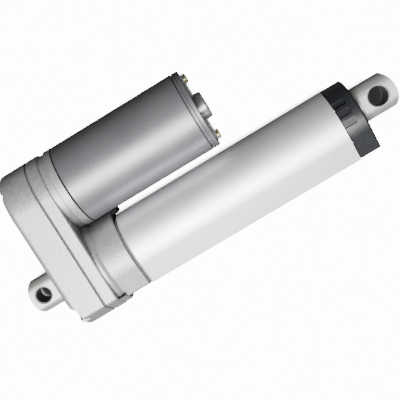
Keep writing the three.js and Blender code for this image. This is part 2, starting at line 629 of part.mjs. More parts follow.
// ---------------------------------------------------------------- lead screw
function helix(x0, x1) {
  // the thread is one strip wound round the axis; its two ends are closed by fans
  const around = 10;
  const profile = [[0, SCREW_ROOT], [0.22, SCREW_ROOT], [0.42, SCREW_R], [0.8, SCREW_R]];
  const n = profile.length;
  const start = x0 - 2 * SCREW_LEAD;
  const steps = around * (Math.ceil((x1 - x0) / SCREW_LEAD) + 4);
  const pos = [];
  for (let s = 0; s <= steps; s += 1) {
    const a = (2 * Math.PI * s) / around;
    for (const [u, r] of profile) {
      pos.push(start + SCREW_LEAD * (u + s / around), r * Math.cos(a), r * Math.sin(a));
    }
  }
  const id = (s, k) => s * n + k;
  const idx = [];
  const quad = (a, b, c, d) => idx.push(a, b, c, a, c, d);
  for (let s = 0; s < steps; s += 1) {
    for (let k = 0; k + 1 < n; k += 1) quad(id(s, k), id(s, k + 1), id(s + 1, k + 1), id(s + 1, k));
    // the last line of one turn meets the first line of the next
    if (s + around + 1 <= steps) {
      quad(id(s, n - 1), id(s + around, 0), id(s + around + 1, 0), id(s + 1, n - 1));
    }
  }
  const lowC = pos.length / 3;
  pos.push(start - SCREW_LEAD, 0, 0);
  for (let s = 0; s < around; s += 1) idx.push(lowC, id(s, 0), id(s + 1, 0));
  const first = [];
  for (let k = 0; k < n; k += 1) first.push(id(0, k));
  first.push(id(around, 0));
  for (let k = 0; k + 1 < first.length; k += 1) idx.push(lowC, first[k + 1], first[k]);
  const highC = pos.length / 3;
  pos.push(start + SCREW_LEAD * (steps / around + 2), 0, 0);
  for (let s = steps - around; s < steps; s += 1) idx.push(highC, id(s + 1, n - 1), id(s, n - 1));
  const final = [id(steps - around, n - 1)];
  for (let k = 0; k < n; k += 1) final.push(id(steps, k));
  for (let k = 0; k + 1 < final.length; k += 1) idx.push(highC, final[k], final[k + 1]);
  const g = new THREE.BufferGeometry();
  g.setAttribute('position', new THREE.BufferAttribute(Float32Array.from(pos), 3));
  g.setIndex(idx);
  return solid(g).intersect(cylX(SCREW_R + 1, x0, x1, 0, 0, 10));
}

function leadScrew() {
  const shank = turned([[9.4, 0], [9.4, 2.7], [9.7, 3.0], [14.0, 3.0], [14.0, 3.5], [19.0, 3.5], [19.0, 4.6],
    [20.2, 4.6], [20.2, 4.0], [37.6, 4.0], [37.6, 3.2], [37.8, 3.2], [37.8, 0]], 0, 0, 24);
  const tip = turned([[THREAD_X1 - 0.2, 0], [THREAD_X1 - 0.2, 3.0], [130.6, 3.0], [131.2, 2.4], [131.2, 0]],
    0, 0, 16);
  return shank.add(helix(THREAD_X0, THREAD_X1)).add(tip);
}

place(screwGroup, 'lead_screw', leadScrew(), 'steel');
place(screwGroup, 'screw_gear', prismX(gearOutline(T_SCREW, 0, Math.PI / T_SCREW), SCREW_GEAR_X[0], SCREW_GEAR_X[1])
  .subtract(cylX(3.65, 10, 20, 0, 0, 24)), 'gear_plastic');
place(screwGroup, 'bearing_inner_ring', ring(5.5, 4.12, 28.5, 33.3, 0, 0, 28), 'steel');
place(screwGroup, 'bearing_cage', ring(6.9, 5.8, 29.3, 32.5, 0, 0, 28), 'brass');
place(screwGroup, 'screw_lock_nut', prismX(hexOutline(0, 0, 11), 33.6, 36.2).subtract(cylX(4.12, 30, 40, 0, 0, 24)),
  'zinc');

// ---------------------------------------------------------------- idler gear
function idlerGear() {
  let body = prismX(gearOutline(T_BIG, IDLER_Y, Math.PI / T_BIG), BIG_GEAR_X[0], BIG_GEAR_X[1]);
  body = body.add(prismX(gearOutline(T_SMALL, IDLER_Y, Math.PI), 14.0, BIG_GEAR_X[0] + 0.2));
  body = body.subtract(cylX(2.3, 10, 30, IDLER_Y, 0, 20));
  return body;
}
place(idlerGroup, 'idler_gear', idlerGear(), 'gear_plastic');
place(idlerGroup, 'idler_bush', ring(2.15, 1.7, 13.8, 23.8, IDLER_Y, 0, 20), 'bronze');

// ---------------------------------------------------------------- rotor
function motorShaft() {
  return turned([[12.9, 0], [12.9, 1.6], [13.3, 2.0], [94.4, 2.0], [94.8, 1.6], [94.8, 0]], MOTOR_Y, 0, 20);
}

function coreOutline() {
  const pts = [];
  const poles = 5;
  for (let k = 0; k < poles; k += 1) {
    const mid = (2 * Math.PI * k) / poles;
    const tip = Math.PI / poles - 0.13;
    for (const [r, a] of [[4.6, -0.42], [8.6, -0.2], [9.8, -tip], [11.1, -tip], [11.1, -tip / 2], [11.1, 0],
      [11.1, tip / 2], [11.1, tip], [9.8, tip], [8.6, 0.2], [4.6, 0.42]]) {
      pts.push([MOTOR_Y + r * Math.cos(mid + a), r * Math.sin(mid + a)]);
    }
  }
  return pts;
}

function windings() {
  const poles = 5;
  let body = ring(10.6, 2.9, 40.6, 44.8, MOTOR_Y, 0, 24).add(ring(10.6, 2.9, 69.2, 73.4, MOTOR_Y, 0, 24));
  for (let k = 0; k < poles; k += 1) {
    const a = (2 * Math.PI * (k + 0.5)) / poles;
    body = body.add(cylX(1.75, 42, 72, MOTOR_Y + 7.6 * Math.cos(a), 7.6 * Math.sin(a), 10));
  }
  return body;
}

place(rotorGroup, 'motor_shaft', motorShaft(), 'steel');
place(rotorGroup, 'pinion', prismX(gearOutline(T_PINION, MOTOR_Y, Math.PI), 19.2, 24.0)
  .subtract(cylX(2.12, 10, 30, MOTOR_Y, 0, 20)), 'brass');
place(rotorGroup, 'armature_core', prismX(coreOutline(), 45.2, 68.8).subtract(cylX(2.12, 40, 80, MOTOR_Y, 0, 20)),
  'steel');
place(rotorGroup, 'armature_windings', windings(), 'copper');
place(rotorGroup, 'commutator', turned([[75.2, 2.15], [75.2, 5.6], [76.4, 5.6], [76.4, 4.9], [83.2, 4.9],
  [83.2, 2.15], [75.2, 2.15]], MOTOR_Y, 0, 24), 'copper');

export default actuator;
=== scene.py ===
"""Electric linear actuator: fine surfaces, finishes, floor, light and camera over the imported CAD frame.

Millimetres in the shape functions, metres in Blender. +X along the rod, +Y toward the motor axis,
+Z along the pin holes.
"""
import json
import math

import bmesh
import bpy
from mathutils import Matrix, Vector


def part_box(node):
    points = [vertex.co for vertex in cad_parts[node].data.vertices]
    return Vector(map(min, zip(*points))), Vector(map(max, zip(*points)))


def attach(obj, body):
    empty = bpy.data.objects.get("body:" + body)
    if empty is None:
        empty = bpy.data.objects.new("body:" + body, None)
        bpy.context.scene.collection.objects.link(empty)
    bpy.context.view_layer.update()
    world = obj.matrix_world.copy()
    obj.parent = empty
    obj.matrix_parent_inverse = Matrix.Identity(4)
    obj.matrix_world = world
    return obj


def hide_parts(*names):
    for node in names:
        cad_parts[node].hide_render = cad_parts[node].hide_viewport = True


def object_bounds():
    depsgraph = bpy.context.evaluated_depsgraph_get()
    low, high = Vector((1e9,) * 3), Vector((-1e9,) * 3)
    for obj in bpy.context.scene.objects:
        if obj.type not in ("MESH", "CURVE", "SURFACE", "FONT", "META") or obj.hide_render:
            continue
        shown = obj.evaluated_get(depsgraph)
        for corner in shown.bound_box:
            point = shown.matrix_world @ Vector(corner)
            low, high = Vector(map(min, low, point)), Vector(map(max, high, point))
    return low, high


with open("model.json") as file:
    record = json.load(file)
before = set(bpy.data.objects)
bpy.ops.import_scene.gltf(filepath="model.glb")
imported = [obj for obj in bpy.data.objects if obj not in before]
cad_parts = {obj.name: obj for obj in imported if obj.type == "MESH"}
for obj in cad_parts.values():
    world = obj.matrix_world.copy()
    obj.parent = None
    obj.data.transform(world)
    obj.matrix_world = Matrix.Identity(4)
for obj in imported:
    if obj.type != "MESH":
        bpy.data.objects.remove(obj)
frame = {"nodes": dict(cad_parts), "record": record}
cad_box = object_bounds()
MM = 0.001

# ---------------------------------------------------------------- camera
VIEW_TARGET = Vector((74.0 * MM, 0.0, 0.0))
VIEW_DISTANCE = 0.3353
VIEW_TILT = math.radians(7.03)
VIEW_SWING = math.radians(-4.97)
VIEW_SPIN = math.radians(-30.83)
VIEW_LENS = 74.7
SENSOR_WIDTH, CLIP_START, CLIP_END = 36, 0.01, 60


def view_axes():
    """Columns: the camera's right, its way ahead, and its up."""
    turn = (Matrix.Rotation(VIEW_SPIN, 3, "Y") @ Matrix.Rotation(VIEW_SWING, 3, "Z")
            @ Matrix.Rotation(VIEW_TILT, 3, "X"))
    to_row = Matrix(((1, 0, 0), (0, 0, 1), (0, -1, 0)))
    return to_row @ turn.transposed()


def add_camera():
    axes = view_axes()
    right = axes @ Vector((1, 0, 0))
    ahead = axes @ Vector((0, 1, 0))
    up = axes @ Vector((0, 0, 1))
    data = bpy.data.cameras.new("camera")
    data.lens = VIEW_LENS
    data.sensor_width = SENSOR_WIDTH
    data.clip_start = CLIP_START
    data.clip_end = CLIP_END
    cam = bpy.data.objects.new("camera", data)
    bpy.context.collection.objects.link(cam)
    place = VIEW_TARGET - ahead * VIEW_DISTANCE
    cam.matrix_world = Matrix((
        (right.x, up.x, -ahead.x, place.x),
        (right.y, up.y, -ahead.y, place.y),
        (right.z, up.z, -ahead.z, place.z),
        (0, 0, 0, 1)))
    bpy.context.scene.camera = cam


add_camera()


# ---------------------------------------------------------------- node graph helpers
def map_range(tree, value, start, end, low, high):
    m = tree.nodes.new("ShaderNodeMapRange")
    m.inputs["From Min"].default_value = start
    m.inputs["From Max"].default_value = end
    m.inputs["To Min"].default_value = low
    m.inputs["To Max"].default_value = high
    tree.links.new(value, m.inputs["Value"])
    return m.outputs["Result"]


class Graph:
    """A material's node tree, with short calls for the nodes used here."""

    def __init__(self, name):
        self.material = bpy.data.materials.new(name)
        self.material.use_nodes = True
        self.tree = self.material.node_tree
        self.shader = self.tree.nodes["Principled BSDF"]
        self.coords = self.tree.nodes.new("ShaderNodeTexCoord").outputs["Object"]

    def node(self, kind, **settings):
        made = self.tree.nodes.new(kind)
        for key, value in settings.items():
            setattr(made, key, value)
        return made

    def link(self, a, b):
        self.tree.links.new(a, b)

    def stretched(self, scale):
        m = self.node("ShaderNodeMapping")
        m.inputs["Scale"].default_value = scale
        self.link(self.coords, m.inputs["Vector"])
        return m.outputs["Vector"]

    def noise(self, scale, detail=4.0, rough=0.55, stretch=None):
        n = self.node("ShaderNodeTexNoise")
        n.inputs["Scale"].default_value = scale
        n.inputs["Detail"].default_value = detail
        n.inputs["Roughness"].default_value = rough
        self.link(self.stretched(stretch) if stretch else self.coords, n.inputs["Vector"])
        return n.outputs["Fac"]

    def spots(self, scale):
        n = self.node("ShaderNodeTexVoronoi")
        n.inputs["Scale"].default_value = scale
        self.link(self.coords, n.inputs["Vector"])
        return n.outputs["Distance"]

    def waves(self, scale, direction, distortion=0.0):
        n = self.node("ShaderNodeTexWave", wave_type="BANDS", bands_direction=direction)
        n.inputs["Scale"].default_value = scale
        n.inputs["Distortion"].default_value = distortion
        self.link(self.coords, n.inputs["Vector"])
        return n.outputs["Fac"]

    def blend(self, a, b, share):
        m = self.node("ShaderNodeMix", data_type="FLOAT")
        m.inputs[0].default_value = share
        self.link(a, m.inputs[2])
        self.link(b, m.inputs[3])
        return m.outputs[0]

    def span(self, value, low, high, start=0.3, end=0.7):
        return map_range(self.tree, value, start, end, low, high)

    def ramp(self, value, stops):
        r = self.node("ShaderNodeValToRGB")
        while len(r.color_ramp.elements) < len(stops):
            r.color_ramp.elements.new(0.5)
        for e, (at, colour) in zip(r.color_ramp.elements, stops):
            e.position = at
            e.color = (*colour, 1)
        self.link(value, r.inputs["Fac"])
        return r.outputs["Color"]

    def painted_corner_shade(self, colour, reach_mm, darkest):
        """The colour, darker in corners and grooves where shade falls: painted shade."""
        near = self.node("ShaderNodeAmbientOcclusion", samples=12)
        near.inputs["Distance"].default_value = reach_mm * MM
        m = self.node("ShaderNodeMix", data_type="RGBA", blend_type="MULTIPLY")
        m.inputs["Factor"].default_value = 1.0
        self.link(colour, m.inputs["A"])
        self.link(self.span(near.outputs["AO"], darkest, 1.0, 0.35, 0.85), m.inputs["B"])
        return m.outputs["Result"]

    def bump(self, value, height_mm, onto=None):
        b = self.node("ShaderNodeBump")
        b.inputs["Strength"].default_value = 1.0
        b.inputs["Distance"].default_value = height_mm * MM
        self.link(value, b.inputs["Height"])
        if onto is not None:
            self.link(onto, b.inputs["Normal"])
        return b.outputs["Normal"]

    def done(self, colour, rough, normal, metal=0.0, **uniform):
        """Uniform values are named after the shader's sockets, with _ for a space."""
        s = self.shader
        self.link(colour, s.inputs["Base Color"])
        self.link(rough, s.inputs["Roughness"])
        self.link(normal, s.inputs["Normal"])
        s.inputs["Metallic"].default_value = metal
        for key, value in uniform.items():
            s.inputs[key.replace("_", " ")].default_value = value
        return self.material


def shade(c, k):
    """A colour, lighter or darker by the factor k."""
    return tuple(min(v * k, 1.0) for v in c)


def casting_paint(c=(0.405, 0.41, 0.415)):
    g = Graph("silver_casting")
    peel = g.noise(900, 3.0, 0.5)
    flake = g.spots(2600)
    cloud = g.noise(55, 3.0, 0.6)
    mix = g.blend(g.blend(peel, flake, 0.3), cloud, 0.45)
    colour = g.ramp(mix, [(0.32, shade(c, 0.72)), (0.5, c), (0.68, shade(c, 1.2))])
    # painted shade, darker in the casting's corners and grooves
    colour = g.painted_corner_shade(colour, reach_mm=12.0, darkest=0.35)
    normal = g.bump(peel, 0.08, g.bump(flake, 0.012))
    return g.done(colour, g.span(mix, 0.46, 0.58), normal, 0.65, Coat_Weight=0.08, Coat_Roughness=0.4)


def can_paint(c=(0.18, 0.183, 0.192)):
    g = Graph("satin_grey_can")
    grain = g.noise(2600, 2.0, 0.5)
    cloud = g.noise(45, 3.0, 0.55)
    mix = g.blend(grain, cloud, 0.4)
    colour = g.ramp(mix, [(0.3, shade(c, 0.86)), (0.5, c), (0.72, shade(c, 1.14))])
    return g.done(colour, g.span(mix, 0.36, 0.5), g.bump(grain, 0.012), 0.55, Coat_Weight=0.1,
                  Coat_Roughness=0.3)


def drawn_aluminium(c=(0.93, 0.935, 0.95)):
    g = Graph("anodised_tube")
    lines = g.noise(1, 3.0, 0.5, (14, 2600, 2600))
    frost = g.noise(3600, 2.0, 0.5)
    cloud = g.noise(40, 3.0, 0.55)
    mix = g.blend(g.blend(lines, frost, 0.35), cloud, 0.35)
    colour = g.ramp(mix, [(0.3, shade(c, 0.93)), (0.52, c), (0.72, shade(c, 1.05))])
    normal = g.bump(lines, 0.004, g.bump(frost, 0.003))
    return g.done(colour, g.span(mix, 0.48, 0.58), normal, 0.85, Coat_Weight=0.05, Coat_Roughness=0.4)


def turned_metal(name, c, rough=0.3, along=(3200, 40, 40), metal=0.9, depth=0.004):
    g = Graph(name)
    lines = g.noise(1, 2.0, 0.5, along)
    smear = g.noise(120, 4.0, 0.6)
    mix = g.blend(lines, smear, 0.45)
    colour = g.ramp(mix, [(0.3, shade(c, 0.86)), (0.5, c), (0.72, shade(c, 1.1))])
    return g.done(colour, g.span(mix, rough - 0.06, rough + 0.1), g.bump(lines, depth), metal)


def moulded(name, c, rough=0.3, grain=1800, depth=0.008, **uniform):
    g = Graph(name)
    fine = g.noise(grain, 3.0, 0.5)
    cloud = g.noise(90, 3.0, 0.55)
    mix = g.blend(fine, cloud, 0.5)
    colour = g.ramp(mix, [(0.3, shade(c, 0.85)), (0.5, c), (0.72, shade(c, 1.15))])
    return g.done(colour, g.span(mix, rough - 0.05, rough + 0.08), g.bump(fine, depth), 0.0, **uniform)


def wound_copper():
    g = Graph("enamelled_copper")
    wire = g.waves(620, "X", 1.2)
    cloud = g.noise(160, 3.0, 0.55)
    mix = g.blend(wire, cloud, 0.4)
    colour = g.ramp(mix, [(0.2, (0.20, 0.055, 0.015)), (0.5, (0.50, 0.18, 0.05)),
                          (0.8, (0.68, 0.29, 0.10))])
    return g.done(colour, g.span(mix, 0.22, 0.42), g.bump(wire, 0.12), 0.85, Coat_Weight=0.5,
                  Coat_Roughness=0.12)


def laminate():
    g = Graph("circuit_board")
    weave = g.blend(g.waves(700, "X"), g.waves(700, "Z"), 0.5)
    cloud = g.noise(150, 3.0, 0.6)
    mix = g.blend(weave, cloud, 0.6)
    colour = g.ramp(mix, [(0.25, (0.010, 0.07, 0.025)), (0.5, (0.018, 0.12, 0.045)),
                          (0.8, (0.04, 0.19, 0.08))])
    return g.done(colour, g.span(mix, 0.3, 0.5), g.bump(weave, 0.01), 0.0, Coat_Weight=0.4,
                  Coat_Roughness=0.2)


MATERIALS = {
    "casting": casting_paint(),
    "tube": drawn_aluminium(),
    "can": can_paint(),
    "steel": turned_metal("turned_steel", (0.50, 0.50, 0.49)),
    "rod": turned_metal("satin_rod", (0.45, 0.46, 0.435), 0.44, metal=0.55),
    "zinc": turned_metal("yellow_zinc", (0.62, 0.55, 0.30), 0.27, metal=0.85),
    "black_plastic": moulded("glossy_black", (0.014, 0.015, 0.017), 0.36, 1500, 0.006, Coat_Weight=0.25,
                             Coat_Roughness=0.25),
    "rubber": moulded("matt_rubber", (0.006, 0.006, 0.0065), 0.62, 2600, 0.02, Specular_IOR_Level=0.04),
    "gear_plastic": moulded("natural_acetal", (0.74, 0.70, 0.60), 0.38, 1400, 0.008,
                            Subsurface_Weight=0.1, Subsurface_Scale=0.002),
    "brass": turned_metal("cut_brass", (0.60, 0.43, 0.14), 0.28),
    "bronze": turned_metal("sintered_bronze", (0.42, 0.27, 0.11), 0.42, (1500, 1500, 1500), 0.8, 0.01),
    "copper": wound_copper(),
    "magnet": moulded("ferrite", (0.05, 0.05, 0.053), 0.55, 900, 0.03),
    "carbon": moulded("pressed_carbon", (0.022, 0.022, 0.023), 0.6, 1500, 0.03),
    "board": laminate(),
    "gasket": moulded("fibre_gasket", (0.15, 0.145, 0.135), 0.7, 2200, 0.02),
}
# second finishes, for some faces of a piece
BRIGHT = turned_metal("bright_boss", (0.36, 0.365, 0.37), 0.34, (2600, 60, 60), 0.75, 0.003)
RIM = turned_metal("painted_rim", (0.145, 0.148, 0.155), 0.42, (1800, 120, 120), 0.5, 0.004)
# painted shade: the pin holes' walls are dark, as the holes are in shade
BORE_SHADE = turned_metal("painted_shade_bore", (0.06, 0.064, 0.058), 0.5, (60, 60, 2600), 0.3, 0.004)
PALER_RUBBER = moulded("paler_grey_rubber", (0.115, 0.118, 0.108), 0.62, 2600, 0.02, Specular_IOR_Level=0.12)


# ---------------------------------------------------------------- solids
WELD = 1e-4
SHARP_ANGLE, BEVEL_ANGLE = math.radians(32), math.radians(35)


def to_object(name, bm):
    """A closed mesh with its faces outward."""
    bmesh.ops.remove_doubles(bm, verts=bm.verts, dist=WELD)
    bmesh.ops.recalc_face_normals(bm, faces=bm.faces)
    if bm.calc_volume(signed=True) < 0:
        bmesh.ops.reverse_faces(bm, faces=bm.faces)
    me = bpy.data.meshes.new(name)
    bm.to_mesh(me)
    bm.free()
    ob = bpy.data.objects.new(name, me)
    bpy.context.collection.objects.link(ob)
    return ob


def loft(sections):
    """sections is a list of (x, [(y, z), ...]) with one length of outline."""
    bm = bmesh.new()
    rows = [[bm.verts.new((x, y, z)) for y, z in pts] for x, pts in sections]
    n = len(rows[0])
    for a, b in zip(rows, rows[1:]):
        for i in range(n):
            j = (i + 1) % n
            bm.faces.new((a[i], a[j], b[j], b[i]))
    bm.faces.new(rows[0])
    bm.faces.new(rows[-1])
    return to_object("tmp", bm)


def prism_x(outline, x0, x1):
    return loft([(x0, outline), (x1, outline)])


def prism_z(outline, z0, z1):
    bm = bmesh.new()
    low = [bm.verts.new((x, y, z0)) for x, y in outline]
    high = [bm.verts.new((x, y, z1)) for x, y in outline]
    n = len(low)
    for i in range(n):
        j = (i + 1) % n
        bm.faces.new((low[i], low[j], high[j], high[i]))
    bm.faces.new(low)
    bm.faces.new(high)
    return to_object("tmp", bm)


def block(x0, x1, y0, y1, z0, z1):
    return prism_z([(x0, y0), (x1, y0), (x1, y1), (x0, y1)], z0, z1)


def lathe(profile, y=0.0, z=0.0, seg=96, closed=False):
    """profile is (x, radius) points; open ones start and end on the axis."""
    bm = bmesh.new()
    rows = []
    for x, r in profile:
        if r < 1e-6:
            rows.append([bm.verts.new((x, y, z))] * seg)
        else:
            rows.append([bm.verts.new((x, y + r * math.cos(2 * math.pi * i / seg),
                                       z + r * math.sin(2 * math.pi * i / seg))) for i in range(seg)])
    pairs = list(zip(rows, rows[1:]))
    if closed:
        pairs.append((rows[-1], rows[0]))
    for a, b in pairs:
        for i in range(seg):
            j = (i + 1) % seg
            corners = []
            for v in (a[i], a[j], b[j], b[i]):
                if v not in corners:
                    corners.append(v)
            if len(corners) > 2:
                bm.faces.new(corners)
    return to_object("tmp", bm)


def cyl_x(r, x0, x1, y=0.0, z=0.0, seg=64):
    return lathe([(x0, 0), (x0, r), (x1, r), (x1, 0)], y, z, seg)


def cyl_z(r, z0, z1, x=0.0, y=0.0, seg=64):
    ring = [(x + r * math.cos(2 * math.pi * i / seg), y + r * math.sin(2 * math.pi * i / seg))
            for i in range(seg)]
    return prism_z(ring, z0, z1)


def rounded(points, radii, steps=5, closed=False):
    """Rounds the corners of a polyline; radii is one number or one for each point."""
    n = len(points)
    out = []
    for i, p in enumerate(points):
        r = radii[i] if isinstance(radii, (list, tuple)) else radii
        if r <= 0 or (not closed and i in (0, n - 1)):
            out.append(tuple(p))
            continue
        p = Vector(p)
        a = Vector(points[i - 1]) - p
        b = Vector(points[(i + 1) % n]) - p
        turn = a.angle(b)
        reach = min(r / math.tan(turn / 2), 0.49 * a.length, 0.49 * b.length)
        r = reach * math.tan(turn / 2)
        middle = p + (a.normalized() + b.normalized()).normalized() * (r / math.sin(turn / 2))
        start = p + a.normalized() * reach - middle
        end = p + b.normalized() * reach - middle
        sweep = start.angle_signed(end)
        for k in range(steps + 1):
            t = -sweep * k / steps
            c, s = math.cos(t), math.sin(t)
            out.append((middle.x + start.x * c - start.y * s, middle.y + start.x * s + start.y * c))
    return out


def apply_modifiers(ob):
    bpy.context.view_layer.update()
    made = bpy.data.meshes.new_from_object(ob.evaluated_get(bpy.context.evaluated_depsgraph_get()))
    ob.modifiers.clear()
    ob.data = made


def combine(base, other, how):
    """The other solid is used up; both have to be closed meshes."""
    m = base.modifiers.new("combine", "BOOLEAN")
    m.operation = how
    m.solver = "MANIFOLD"
    m.object = other
    apply_modifiers(base)
    bpy.data.objects.remove(other)
    return base


def cut(base, *others):
    for o in others:
        combine(base, o, "DIFFERENCE")
    return base


def join(base, *others):
    for o in others:
        combine(base, o, "UNION")
    return base


def common(base, *others):
    for o in others:
        combine(base, o, "INTERSECT")
    return base


def smooth(mesh):
    mesh.shade_smooth()
    mesh.set_sharp_from_angle(angle=SHARP_ANGLE)


def finish_piece(ob, name, node, material=None, bevel=0.0, segments=3):
    """Softens a piece's edges, scales it to metres, and puts it in a CAD node's place."""
    body = next(b for b, nodes in frame["record"]["behaviour"]["bodies"].items() if node in nodes)
    slot = next(s["material_slot"] for s in frame["record"]["subparts"] if s["node"] == node)
    ob.name = name
    ob.data.name = name
    if bevel:
        m = ob.modifiers.new("edge", "BEVEL")
        m.width = bevel
        m.segments = segments
        m.limit_method = "ANGLE"
        m.angle_limit = BEVEL_ANGLE
        m.use_clamp_overlap = True
        apply_modifiers(ob)
    ob.data.transform(Matrix.Scale(MM, 4))
    ob.data.materials.clear()
    ob.data.materials.append(material or MATERIALS[slot])
    smooth(ob.data)
    w = ob.modifiers.new("normals", "WEIGHTED_NORMAL")
    w.keep_sharp = True
    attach(ob, body)
    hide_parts(node)
    return ob


def refinish(piece, finish, chosen):
    """Gives a finished piece's chosen faces a second finish."""
    piece.data.materials.append(finish)
    for f in piece.data.polygons:
        if chosen(f):
            f.material_index = 1


# ---------------------------------------------------------------- places from the frame
X, Y, Z = range(3)
record = frame["record"]
joints = {j["name"]: j for j in record["behaviour"]["joints"]}
mounts = {m["name"]: m for m in record["mounts"]}
openings = {o["name"]: o for o in record["physics"]["openings"]}


def neat(mm):
    """Millimetres, cleared of the frame's rounding error."""
    return round(mm, 3)


def extent_of(node, axis):
    """Where a CAD node starts and ends along an axis."""
    low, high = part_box(node)
    return neat(low[axis] / MM), neat(high[axis] / MM)


def middle_of(node, axis):
    return neat(sum(extent_of(node, axis)) / 2)


def screw_centres(kind):
    """The (y, z) of each of the four screws of one kind."""
    return [(middle_of(f"{kind}_{i}", Y), middle_of(f"{kind}_{i}", Z)) for i in range(1, 5)]


# ---------------------------------------------------------------- sizes, in millimetres
MOTOR_Y = neat(joints["motor_turn"]["pos_m"][Y] / MM)
IDLER_Y = neat(joints["idler_turn"]["pos_m"][Y] / MM)
BOX_X0, REAR_HALF_X1 = extent_of("rear_housing", X)
BOX_BOTTOM = extent_of("rear_housing", Y)[0]
BOX_HALF = extent_of("rear_housing", Z)[1]
BOX_PART = middle_of("case_gasket", X)
SPLIT = neat(BOX_PART - REAR_HALF_X1)
BOX_X1, BOX_KNEE, BOX_FOOT_HALF, BOX_WALL = 27.5, -14.9, 4.7, 2.2
TUBE_X0, TUBE_X1 = extent_of("outer_tube", X)
TUBE_BOTTOM, TUBE_TOP = extent_of("outer_tube", Y)
TUBE_CY, TUBE_FLAT_HALF = -2.8, 10.6
TUBE_R = neat(TUBE_TOP - TUBE_CY)
LUG_X1 = extent_of("tube_gasket", X)[1]
LUG_LOW, LUG_HIGH, LUG_Y0, LUG_Y1, RING_TOP = -5.2, 3.0, 12.9, 15.8, 10.8
COLLAR_X1 = extent_of("front_housing", X)[1]
COLLAR_RISE, COLLAR_COVE, COVE_SIDE, COVE_STEPS = 2.3, 1.7, 0.9, 12
FOOT_X1, SEAT_STEP, SEAT_X1 = 30.6, 30.3, 33.5
SCREW_BOSS_R, IDLER_BOSS_R, IDLER_PIN_R = 3.0, 3.6, 1.7
GROMMET_X0, GROMMET_X1 = extent_of("cable_grommet", X)
GROMMET_Y, GROMMET_Z = middle_of("cable_grommet", Y), middle_of("cable_grommet", Z)
GROMMET_R, GROMMET_HOLE_R = 2.9, 3.1
CAP_X0, CAP_X1 = 137.0, extent_of("front_cap", X)[1]
CAP_RAISE = neat(extent_of("front_cap", Y)[0] - TUBE_BOTTOM)
BORE_R, CHANNEL_HALF, CHANNEL_Y, CHANNEL_TOP = 10.2, 6.2, -15.8, -6.0
CAN_X0, CAN_X1 = extent_of("motor_can", X)
CAN_R = extent_of("motor_can", Z)[1]
CAN_WALL, BOLT_OFF = 1.3, neat(middle_of("through_bolt_1", Y) - MOTOR_Y)
CAP_RIM_R = extent_of("motor_end_cap", Z)[1]
BOSS_X0, BOSS_FACES_R = 92.3, 6.0
ROD_X0, ROD_X1 = extent_of("push_rod", X)
ROD_R = extent_of("push_rod", Z)[1]
REAR_R, ROD_BORE_R = 7.2, 5.3
CROSS_PIN_R, CROSS_PIN_X = 1.6, middle_of("clevis_pin", X)
REAR_FLAT = neat(mounts["rear_eye_face"]["pos_m"][Z] / MM)
FRONT_FLAT = neat(mounts["front_eye_face"]["pos_m"][Z] / MM)
REAR_TIP, FRONT_TIP = extent_of("rear_clevis", X)[0], extent_of("front_clevis", X)[1]
HOLE_TO_HOLE = neat(sum(corner[X] for corner in openings["front_pin_way"]["box_m"]) / 2 / MM)
REAR_HOLE_R, FRONT_HOLE_R, RIM_DEPTH = 3.2, 4.0, 0.7
FLAT_STEPS, FLAT_BLEND = 144, 20
CASE_SCREWS = screw_centres("case_screw")
CAP_SCREWS = screw_centres("cap_screw")


def case_outline(inset, steps=56):
    """The gearbox in the plane of y and z: round at the motor, with a foot under the tube."""
    half = BOX_HALF - inset
    low = BOX_BOTTOM + inset
    knee = BOX_KNEE + 0.674 * inset
    foot = BOX_FOOT_HALF - 0.2 * inset
    pts = [(low, -foot), (low, foot), (knee, half)]
    radii = [1.2, 1.2, 1.6]
    for i in range(steps + 1):
        a = math.pi / 2 - math.pi * i / steps
        pts.append((MOTOR_Y + half * math.cos(a), half * math.sin(a)))
        radii.append(0)
    pts.append((knee, -half))
    radii.append(1.6)
    return rounded(pts, radii, 5, True)


def tube_outline(grow=0.0, steps=72, corner=0.6):
    """The tube: a circle that runs straight down to one flat side."""
    r = TUBE_R + grow
    low = TUBE_BOTTOM - grow
    flat = TUBE_FLAT_HALF + 0.6 * grow
    dy = TUBE_CY - low
    start = math.atan2(flat, dy) + math.acos(r / math.hypot(dy, flat))
    pts = [(low, -flat), (low, flat)]
    radii = [corner, corner]
    for i in range(steps + 1):
        a = start + (2 * math.pi - 2 * start) * i / steps
        pts.append((TUBE_CY - r * math.cos(a), r * math.sin(a)))
        radii.append(0)
    return rounded(pts, radii, 4, True)


def collar_outline(grow):
    """The tube's outline, raised toward the motor."""
    out = []
    for y, z in tube_outline(grow):
        t = max((y - TUBE_CY) / (TUBE_R + grow), 0)
        out.append((y + COLLAR_RISE * t ** 6, z))
    return out


def cove_outline(grow):
    """The collar's outline where it flares into the gearbox, no wider than the gearbox is."""
    narrower = (TUBE_R + min(grow, COVE_SIDE)) / (TUBE_R + grow)
    return [(y, z * narrower) for y, z in collar_outline(grow)]


def tube_inset(inset):
    return tube_outline(-inset)


def collar_inset(inset):
    return collar_outline(-inset)


def channel(x0, x1):
    """The room for the switches, under the bore."""
    return block(x0, x1, CHANNEL_Y, CHANNEL_TOP, -CHANNEL_HALF, CHANNEL_HALF)


def soft_end(x, toward, radius, outline, steps=6):
    """Sections that round an outline over at the end plane x; toward is the outward direction."""
    made = []
    for i in range(steps + 1):
        a = math.pi / 2 * i / steps
        made.append((x - toward * radius * (1 - math.sin(a)), outline(radius * (1 - math.cos(a)))))
    return made


def hexagon(y, z, flats):
    """flats is the width across them."""
    r = flats / math.sqrt(3)
    return [(y + r * math.cos(math.pi / 3 * i), z + r * math.sin(math.pi / 3 * i)) for i in range(6)]


